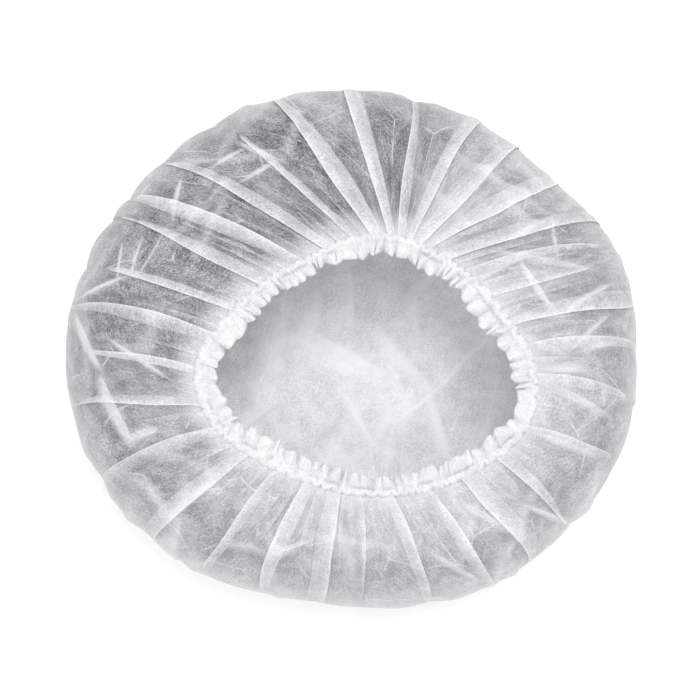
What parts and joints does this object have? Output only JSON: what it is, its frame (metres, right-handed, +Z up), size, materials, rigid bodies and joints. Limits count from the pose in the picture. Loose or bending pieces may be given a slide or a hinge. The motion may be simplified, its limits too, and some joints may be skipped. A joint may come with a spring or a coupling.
{
  "type": "disposable hair cover cap",
  "caption": "Bouffant hair cover of thin nonwoven cloth, gathered on an elastic round its opening, puffed open and lying on its crown.",
  "frame": {"origin": "middle of the bottom of the box round the cap, on the surface that the crown rests on", "axes": "+Z up out of the opening, +X along the cap's longer side, -Y towards the viewer of the picture's lower edge"},
  "size_m": [0.279, 0.2552, 0.0873],
  "materials": {
    "crown_cloth": "thin white spunbond nonwoven, matt and slightly see-through",
    "hem_cloth": "the same nonwoven folded double, matt white",
    "elastic": "white covered elastic, matt"
  },
  "bodies": {
    "root": {"crown_shell": "crown_cloth", "hem_ruffle": "hem_cloth", "elastic_band": "elastic"}
  },
  "joints": []
}
